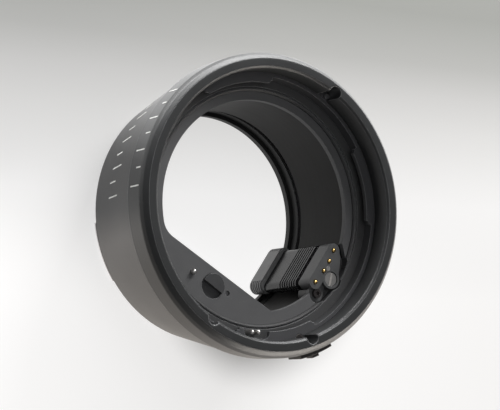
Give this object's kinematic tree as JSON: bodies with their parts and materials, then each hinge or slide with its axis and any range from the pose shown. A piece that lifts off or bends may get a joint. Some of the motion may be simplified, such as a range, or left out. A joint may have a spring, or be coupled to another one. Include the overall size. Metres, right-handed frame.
{
  "type": "macro extension tube",
  "caption": "Short tapered black tube that fits between a camera and its lens, with bayonets at both ends, a D-shaped baffle, a drive shaft and a finned contact block.",
  "frame": {"origin": "centre of the rear bayonet's end face, on the optical axis", "axes": "+Z is the optical axis towards the lens; seen from the lens side, the release slide is near -Y and the contact block between +X and -Y"},
  "size_m": [0.0852, 0.0869, 0.0416],
  "materials": {
    "ring_black": "satin black anodised aluminium",
    "barrel_black": "fine satin black anodised aluminium with white filled marks",
    "frame_black": "matt black machined aluminium",
    "plate_black": "matt black sheet",
    "bayonet_black": "black chromed steel",
    "trap_black": "dull anti-reflection black",
    "mount_steel": "turned satin chrome",
    "small_steel": "plain steel",
    "shaft_steel": "blackened steel",
    "black_screw": "blackened steel",
    "bright_steel": "polished steel",
    "brass": "plain brass",
    "block_plastic": "satin black moulded plastic",
    "fin_plastic": "satin black moulded plastic",
    "gold": "gold plated",
    "slide_black": "satin black anodised aluminium"
  },
  "bodies": {
    "tube": {"front_ring": "ring_black", "rear_barrel": "barrel_black", "front_frame": "frame_black", "baffle_plate": "plate_black", "lens_bayonet": "bayonet_black", "light_trap_tube": "trap_black", "rear_mount": "mount_steel", "bayonet_screws": "small_steel", "plate_screws": "small_steel", "rear_screws": "small_steel", "push_pin_spring": "small_steel", "contact_springs": "small_steel", "release_spring": "small_steel", "stop_pin": "small_steel", "bayonet_dowel": "small_steel", "foot_screw": "black_screw", "block_screw": "bright_steel", "block_dowel": "bright_steel", "index_stud": "bright_steel", "shaft_bush": "brass", "push_pin_tube": "brass", "contact_rods": "brass", "contact_front": "block_plastic", "contact_fins": "fin_plastic", "contact_rear": "block_plastic", "rear_pads": "gold"},
    "shaft": {"drive_shaft": "shaft_steel", "shaft_clip": "small_steel"},
    "push": {"push_pin": "bright_steel"},
    "contact_1": {"contact_pin_1": "gold"},
    "contact_2": {"contact_pin_2": "gold"},
    "contact_3": {"contact_pin_3": "gold"},
    "contact_4": {"contact_pin_4": "gold"},
    "release": {"release_slide": "slide_black", "lock_plate": "small_steel", "lock_pin": "bright_steel"}
  },
  "joints": [
    {"name": "shaft_turn", "type": "hinge", "parent": "tube", "child": "shaft", "pos_m": [-0.01903, -0.01916, 0], "axis": [0, 0, 1], "range_deg": [0, 290]},
    {"name": "push_pin_slide", "type": "slide", "parent": "tube", "child": "push", "axis": [0, 0, -1], "range_m": [0, 0.0012], "stiffness_N_per_m": 400, "springref_m": -0.002},
    {"name": "contact_1_slide", "type": "slide", "parent": "tube", "child": "contact_1", "axis": [0, 0, -1], "range_m": [0, 0.0008], "stiffness_N_per_m": 300, "springref_m": -0.001},
    {"name": "contact_2_slide", "type": "slide", "parent": "tube", "child": "contact_2", "axis": [0, 0, -1], "range_m": [0, 0.0008], "stiffness_N_per_m": 300, "springref_m": -0.001},
    {"name": "contact_3_slide", "type": "slide", "parent": "tube", "child": "contact_3", "axis": [0, 0, -1], "range_m": [0, 0.0008], "stiffness_N_per_m": 300, "springref_m": -0.001},
    {"name": "contact_4_slide", "type": "slide", "parent": "tube", "child": "contact_4", "axis": [0, 0, -1], "range_m": [0, 0.0008], "stiffness_N_per_m": 300, "springref_m": -0.001},
    {"name": "release_slide_travel", "type": "slide", "parent": "tube", "child": "release", "axis": [0, 0, -1], "range_m": [0, 0.0016], "stiffness_N_per_m": 500, "springref_m": -0.002}
  ]
}
